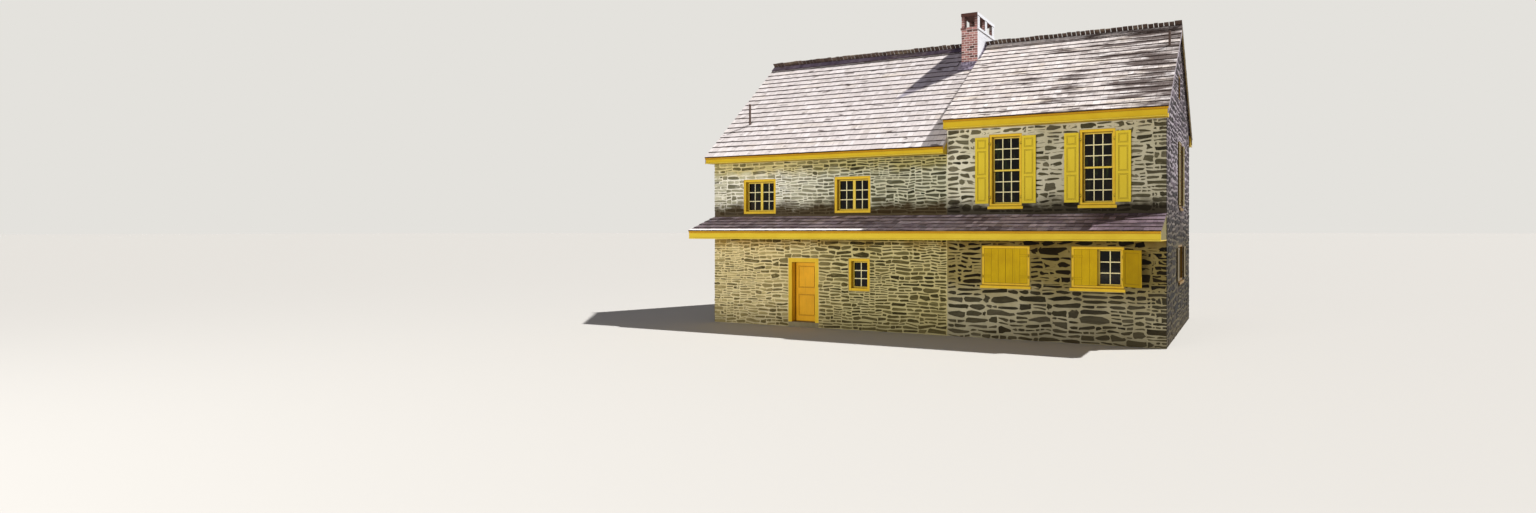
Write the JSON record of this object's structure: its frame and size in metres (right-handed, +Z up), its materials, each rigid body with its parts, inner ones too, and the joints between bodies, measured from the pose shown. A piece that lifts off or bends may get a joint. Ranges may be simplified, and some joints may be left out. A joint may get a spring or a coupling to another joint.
{
  "type": "stone house with pent roof",
  "caption": "Two-section stone house under one ridge, with a shingled pent roof along the front, a brick chimney, a hinged front door and hinged window shutters.",
  "frame": {"origin": "middle of the plan of the whole house, on the level of its foot", "axes": "+X to the right along the front, +Y to the rear, +Z up"},
  "size_m": [14.59, 8.58, 10.005],
  "materials": {
    "thin_stone": "coursed thin stone in pale mortar",
    "rubble_stone": "coursed rubble with ribbon pointing",
    "sill_stone": "worn stone slab",
    "shingles": "weathered cedar shingles",
    "dark_shingles": "old dark cedar shingles",
    "floor_boards": "pine boards",
    "yellow_paint": "yellow oil paint",
    "orange_paint": "orange yellow oil paint",
    "shutter_paint": "yellow oil paint",
    "old_shutter_paint": "weathered mustard paint",
    "straw_paint": "straw yellow oil paint",
    "brick": "red brick in pale mortar",
    "lead": "dull grey lead",
    "iron": "black iron",
    "window_glass": "old window glass"
  },
  "bodies": {
    "house": {"ground_floor": "floor_boards", "upper_floor": "floor_boards", "attic_floors": "floor_boards", "door_sill": "sill_stone", "front_wall_left": "thin_stone", "front_wall_over_door": "thin_stone", "front_wall_middle": "thin_stone", "front_wall_right": "rubble_stone", "rear_wall_left": "thin_stone", "rear_wall_right": "rubble_stone", "left_gable_wall": "thin_stone", "right_gable_wall": "rubble_stone", "roof_step_wall": "rubble_stone", "roof_left_front": "shingles", "roof_left_rear": "shingles", "roof_right_front": "shingles", "roof_right_rear": "shingles", "ridge_cap": "dark_shingles", "boxed_eaves": "yellow_paint", "barge_boards": "yellow_paint", "pent_roof": "dark_shingles", "pent_eave_board": "yellow_paint", "pent_soffit": "yellow_paint", "pent_end_boards": "yellow_paint", "chimney_shaft": "brick", "chimney_piers": "brick", "chimney_slab": "sill_stone", "chimney_flashing": "lead", "vent_pipes": "lead", "window_frames": "yellow_paint", "window_sashes": "straw_paint", "window_glass": "window_glass", "window_sills": "yellow_paint", "door_frame": "yellow_paint", "hinge_pins": "iron"},
    "front_door": {"front_door": "orange_paint", "door_knob": "iron"},
    "tall_shutter_1_left": {"tall_shutter_1_left": "shutter_paint"},
    "tall_shutter_1_right": {"tall_shutter_1_right": "shutter_paint"},
    "tall_shutter_2_left": {"tall_shutter_2_left": "shutter_paint"},
    "tall_shutter_2_right": {"tall_shutter_2_right": "shutter_paint"},
    "low_shutter_1_left": {"low_shutter_1_left": "old_shutter_paint"},
    "low_shutter_1_right": {"low_shutter_1_right": "old_shutter_paint"},
    "low_shutter_2_left": {"low_shutter_2_left": "old_shutter_paint"},
    "low_shutter_2_right": {"low_shutter_2_right": "old_shutter_paint"},
    "gable_tall_shutter_left": {"gable_tall_shutter_left": "shutter_paint"},
    "gable_tall_shutter_right": {"gable_tall_shutter_right": "shutter_paint"},
    "gable_low_shutter_left": {"gable_low_shutter_left": "old_shutter_paint"},
    "gable_low_shutter_right": {"gable_low_shutter_right": "old_shutter_paint"}
  },
  "joints": [
    {"name": "tall_shutter_1_left_hinge", "type": "hinge", "parent": "house", "child": "tall_shutter_1_left", "pos_m": [2.47, -3.045, 2.15], "axis": [0, 0, 1], "range_deg": [0, 180]},
    {"name": "tall_shutter_1_right_hinge", "type": "hinge", "parent": "house", "child": "tall_shutter_1_right", "pos_m": [3.35, -3.045, 2.15], "axis": [0, 0, 1], "range_deg": [-180, 0]},
    {"name": "tall_shutter_2_left_hinge", "type": "hinge", "parent": "house", "child": "tall_shutter_2_left", "pos_m": [5.005, -3.045, 2.15], "axis": [0, 0, 1], "range_deg": [0, 180]},
    {"name": "tall_shutter_2_right_hinge", "type": "hinge", "parent": "house", "child": "tall_shutter_2_right", "pos_m": [5.885, -3.045, 2.15], "axis": [0, 0, 1], "range_deg": [-180, 0]},
    {"name": "low_shutter_1_left_hinge", "type": "hinge", "parent": "house", "child": "low_shutter_1_left", "pos_m": [2.25, -3.045, 2.15], "axis": [0, 0, 1], "range_deg": [-180, 0]},
    {"name": "low_shutter_1_right_hinge", "type": "hinge", "parent": "house", "child": "low_shutter_1_right", "pos_m": [3.57, -3.045, 2.15], "axis": [0, 0, 1], "range_deg": [0, 145]},
    {"name": "low_shutter_2_left_hinge", "type": "hinge", "parent": "house", "child": "low_shutter_2_left", "pos_m": [4.785, -3.045, 2.15], "axis": [0, 0, 1], "range_deg": [-145, 0]},
    {"name": "low_shutter_2_right_hinge", "type": "hinge", "parent": "house", "child": "low_shutter_2_right", "pos_m": [6.105, -3.045, 2.15], "axis": [0, 0, 1], "range_deg": [-145, 35]},
    {"name": "gable_tall_shutter_left_hinge", "type": "hinge", "parent": "house", "child": "gable_tall_shutter_left", "pos_m": [7.195, 0.415, 2.15], "axis": [0, 0, 1], "range_deg": [0, 180]},
    {"name": "gable_tall_shutter_right_hinge", "type": "hinge", "parent": "house", "child": "gable_tall_shutter_right", "pos_m": [7.195, 1.295, 2.15], "axis": [0, 0, 1], "range_deg": [-180, 0]},
    {"name": "gable_low_shutter_left_hinge", "type": "hinge", "parent": "house", "child": "gable_low_shutter_left", "pos_m": [7.195, 0.195, 2.15], "axis": [0, 0, 1], "range_deg": [0, 180]},
    {"name": "gable_low_shutter_right_hinge", "type": "hinge", "parent": "house", "child": "gable_low_shutter_right", "pos_m": [7.195, 1.515, 2.15], "axis": [0, 0, 1], "range_deg": [-180, 0]},
    {"name": "front_door_hinge", "type": "hinge", "parent": "house", "child": "front_door", "pos_m": [-4.155, -2.791, 1.15], "axis": [0, 0, 1], "range_deg": [0, 100]}
  ]
}
